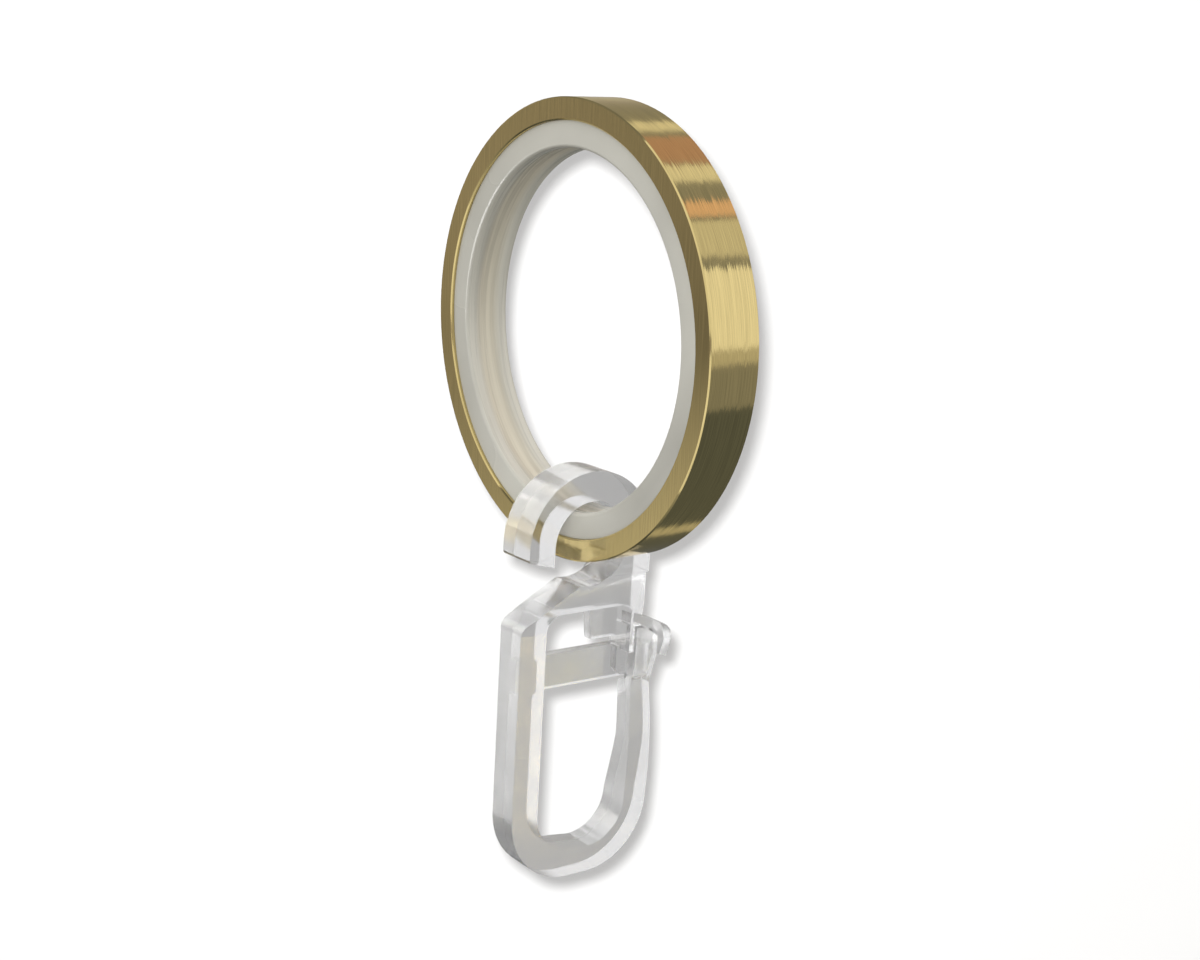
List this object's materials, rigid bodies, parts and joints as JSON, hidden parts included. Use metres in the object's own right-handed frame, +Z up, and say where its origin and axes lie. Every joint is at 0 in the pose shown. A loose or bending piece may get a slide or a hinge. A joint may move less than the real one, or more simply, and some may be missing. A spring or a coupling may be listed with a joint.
{
  "type": "curtain ring with hook",
  "caption": "Flat brass curtain ring with a plastic glide liner pressed in its bore and a clear moulded pleat hook that hangs over it by a round crook.",
  "frame": {"origin": "centre of the ring, on its axis, midway between its faces", "axes": "+Y along the ring's axis, the way the rod runs; +Z up, to where the liner rests on the rod; the hook hangs towards -Z with its loop in the YZ plane"},
  "size_m": [0.043, 0.0188, 0.0759],
  "materials": {
    "brushed_brass": "satin, brushed round the band",
    "milky_liner": "milky, lets the brass show through",
    "clear_plastic": "clear, gloss"
  },
  "bodies": {
    "ring": {"brass_ring": "brushed_brass", "glide_liner": "milky_liner"},
    "hook": {"pleat_hook": "clear_plastic"}
  },
  "joints": [
    {"name": "hook_swing", "type": "hinge", "parent": "ring", "child": "hook", "pos_m": [0, 0, -0.02024], "axis": [1, 0, 0], "range_deg": [-55, 90]}
  ]
}
